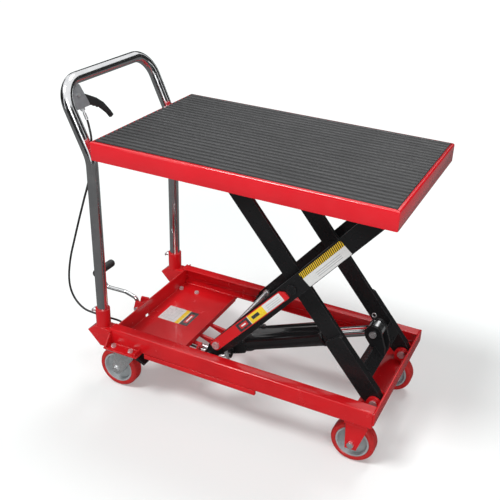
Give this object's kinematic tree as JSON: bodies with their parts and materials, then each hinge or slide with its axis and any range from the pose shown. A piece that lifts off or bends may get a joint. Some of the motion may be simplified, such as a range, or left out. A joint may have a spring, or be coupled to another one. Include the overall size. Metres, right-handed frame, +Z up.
{
  "type": "scissor lift table",
  "caption": "Foot-pumped hydraulic scissor lift table with a skirted top and ribbed mat, C-rail base, bent push handle with release lever, fixed front wheels and braked swivel casters.",
  "frame": {"origin": "on the floor below the middle of the whole object, drawn with its arms at 50 degrees", "axes": "X forward from the handle end to the fixed-wheel end, Y to the left, Z up"},
  "size_m": [0.9934, 0.5, 0.916],
  "materials": {
    "red_paint": "gloss",
    "red_table": "gloss",
    "black_paint": "satin",
    "chrome_tube": "polished",
    "zinc_plate": "plated",
    "zinc_screw": "plated",
    "grey_bracket": "satin",
    "black_cable": "satin",
    "black_lever": "satin",
    "pedal_rubber": "matte",
    "mat_rubber": "matte",
    "pump_black": "satin",
    "tank_black": "gloss",
    "dark_steel": "oiled",
    "roller_steel": "machined",
    "red_tread": "satin",
    "grey_hub": "satin"
  },
  "bodies": {
    "base": {"rail_right": "red_paint", "rail_left": "red_paint", "front_bar": "red_paint", "front_beam": "red_paint", "front_ears": "red_paint", "base_pins": "zinc_screw", "front_forks": "red_paint", "floor_pan": "red_paint", "handle_sockets": "red_paint", "clamp_screws": "zinc_screw", "caster_flanges": "red_paint", "caster_plates": "zinc_plate", "pump_bar": "red_paint", "handle_tube": "chrome_tube", "lever_bracket": "grey_bracket", "lever_hardware": "zinc_screw", "release_cable": "black_cable", "pedal_bracket": "red_paint"},
    "inner_arms": {"arm_inner_right": "black_paint", "arm_inner_left": "black_paint", "ram_cross": "black_paint", "ram_pin": "zinc_screw", "inner_shafts": "dark_steel"},
    "outer_arms": {"arm_outer_right": "black_paint", "arm_outer_left": "black_paint", "outer_tube": "black_paint", "outer_shafts": "dark_steel", "centre_pins": "dark_steel"},
    "table": {"table_top": "red_table", "mat": "mat_rubber", "table_frame": "red_paint", "table_pins": "zinc_screw"},
    "safety_bar": {"safety_bar": "red_paint"},
    "roller_ur": {"roller_upper_right": "roller_steel"},
    "roller_ul": {"roller_upper_left": "roller_steel"},
    "roller_lr": {"roller_lower_right": "roller_steel"},
    "roller_ll": {"roller_lower_left": "roller_steel"},
    "pump": {"pump_block": "pump_black", "tank": "tank_black", "gland": "tank_black"},
    "ram": {"ram": "chrome_tube"},
    "plunger": {"plunger": "zinc_plate"},
    "valve_lever": {"valve_lever": "zinc_plate"},
    "push_rod": {"push_rod": "zinc_plate"},
    "release_wire": {"release_wire": "zinc_plate"},
    "release_lever": {"release_lever": "black_lever"},
    "pedal": {"pedal_rod": "chrome_tube", "pedal_rubber": "pedal_rubber"},
    "front_wheel_r": {"front_tread_right": "red_tread", "front_hub_right": "grey_hub"},
    "front_wheel_l": {"front_tread_left": "red_tread", "front_hub_left": "grey_hub"},
    "fork_r": {"caster_fork_right": "zinc_plate"},
    "fork_l": {"caster_fork_left": "zinc_plate"},
    "brake_r": {"brake_right": "black_lever"},
    "brake_l": {"brake_left": "black_lever"},
    "rear_wheel_r": {"rear_tread_right": "red_tread", "rear_hub_right": "grey_hub"},
    "rear_wheel_l": {"rear_tread_left": "red_tread", "rear_hub_left": "grey_hub"}
  },
  "joints": [
    {"name": "scissor_lift", "type": "hinge", "parent": "base", "child": "inner_arms", "pos_m": [0.46675, 0, 0.175], "axis": [0, 1, 0], "range_deg": [-42, 8]},
    {"name": "scissor_centre", "type": "hinge", "parent": "inner_arms", "child": "outer_arms", "pos_m": [0.22249, 0, 0.4661], "axis": [0, -1, 0], "range_deg": [-84, 16]},
    {"name": "table_level", "type": "hinge", "parent": "outer_arms", "child": "table", "pos_m": [0.46675, 0, 0.75719], "axis": [0, 1, 0], "range_deg": [-42, 8]},
    {"name": "pump_tilt", "type": "hinge", "parent": "base", "child": "pump", "pos_m": [-0.05325, 0, 0.117], "axis": [0, -1, 0], "range_deg": [-4.2, 0.8]},
    {"name": "ram_slide", "type": "slide", "parent": "pump", "child": "ram", "axis": [0.9274, 0, 0.3741], "range_m": [-0.0931, 0.01773]},
    {"name": "roller_spin_upper_right", "type": "hinge", "parent": "inner_arms", "child": "roller_ur", "pos_m": [-0.02177, -0.137, 0.75719], "axis": [0, 1, 0], "continuous": true},
    {"name": "roller_spin_upper_left", "type": "hinge", "parent": "inner_arms", "child": "roller_ul", "pos_m": [-0.02177, 0.137, 0.75719], "axis": [0, 1, 0], "continuous": true},
    {"name": "roller_spin_lower_right", "type": "hinge", "parent": "outer_arms", "child": "roller_lr", "pos_m": [-0.02177, -0.193, 0.175], "axis": [0, 1, 0], "continuous": true},
    {"name": "roller_spin_lower_left", "type": "hinge", "parent": "outer_arms", "child": "roller_ll", "pos_m": [-0.02177, 0.193, 0.175], "axis": [0, 1, 0], "continuous": true},
    {"name": "safety_bar_swing", "type": "hinge", "parent": "outer_arms", "child": "safety_bar", "pos_m": [0.00721, -0.17, 0.22509], "axis": [0, 1, 0], "range_deg": [0, 12]},
    {"name": "pedal_press", "type": "hinge", "parent": "base", "child": "pedal", "pos_m": [-0.33225, -0.045, 0.178], "axis": [0, -1, 0], "range_deg": [0, 35], "stiffness_Nm_per_rad": 6, "springref_deg": -8.02},
    {"name": "push_rod_slide", "type": "slide", "parent": "base", "child": "push_rod", "axis": [1, 0, 0], "range_m": [0, 0.03054]},
    {"name": "plunger_slide", "type": "slide", "parent": "pump", "child": "plunger", "axis": [1, 0, 0], "range_m": [0, 0.03054]},
    {"name": "release_squeeze", "type": "hinge", "parent": "base", "child": "release_lever", "pos_m": [-0.42309, -0.157, 0.86087], "axis": [0.91, 0, 0.4147], "range_deg": [0, 20], "stiffness_Nm_per_rad": 0.8, "springref_deg": -5.73},
    {"name": "valve_turn", "type": "hinge", "parent": "pump", "child": "valve_lever", "pos_m": [-0.01026, -0.06, 0.14944], "axis": [0, 1, 0], "range_deg": [0, 10]},
    {"name": "release_wire_slide", "type": "slide", "parent": "base", "child": "release_wire", "axis": [-1, 0, 0], "range_m": [0, 0.00482]},
    {"name": "front_wheel_spin_right", "type": "hinge", "parent": "base", "child": "front_wheel_r", "pos_m": [0.43275, -0.172, 0.0625], "axis": [0, 1, 0], "continuous": true},
    {"name": "caster_swivel_right", "type": "hinge", "parent": "base", "child": "fork_r", "pos_m": [-0.27025, -0.193, 0.14], "axis": [0, 0, 1], "continuous": true},
    {"name": "rear_wheel_spin_right", "type": "hinge", "parent": "fork_r", "child": "rear_wheel_r", "pos_m": [-0.30525, -0.193, 0.0625], "axis": [0, 1, 0], "continuous": true},
    {"name": "brake_press_right", "type": "hinge", "parent": "fork_r", "child": "brake_r", "pos_m": [-0.24925, -0.193, 0.119], "axis": [0, 1, 0], "range_deg": [0, 10]},
    {"name": "front_wheel_spin_left", "type": "hinge", "parent": "base", "child": "front_wheel_l", "pos_m": [0.43275, 0.172, 0.0625], "axis": [0, 1, 0], "continuous": true},
    {"name": "caster_swivel_left", "type": "hinge", "parent": "base", "child": "fork_l", "pos_m": [-0.27025, 0.193, 0.14], "axis": [0, 0, 1], "continuous": true},
    {"name": "rear_wheel_spin_left", "type": "hinge", "parent": "fork_l", "child": "rear_wheel_l", "pos_m": [-0.30525, 0.193, 0.0625], "axis": [0, 1, 0], "continuous": true},
    {"name": "brake_press_left", "type": "hinge", "parent": "fork_l", "child": "brake_l", "pos_m": [-0.24925, 0.193, 0.119], "axis": [0, 1, 0], "range_deg": [0, 10]}
  ],
  "couplings": [
    {"joint": "scissor_centre", "follows": "scissor_lift", "ratio": 2},
    {"joint": "table_level", "follows": "scissor_lift", "ratio": 1},
    {"joint": "pump_tilt", "follows": "scissor_lift", "ratio": 0.1},
    {"joint": "ram_slide", "follows": "scissor_lift", "m_per_rad": 0.127},
    {"joint": "push_rod_slide", "follows": "pedal_press", "m_per_rad": 0.05},
    {"joint": "plunger_slide", "follows": "pedal_press", "m_per_rad": 0.05},
    {"joint": "valve_turn", "follows": "release_squeeze", "ratio": 0.5},
    {"joint": "release_wire_slide", "follows": "release_squeeze", "m_per_rad": 0.0138}
  ]
}
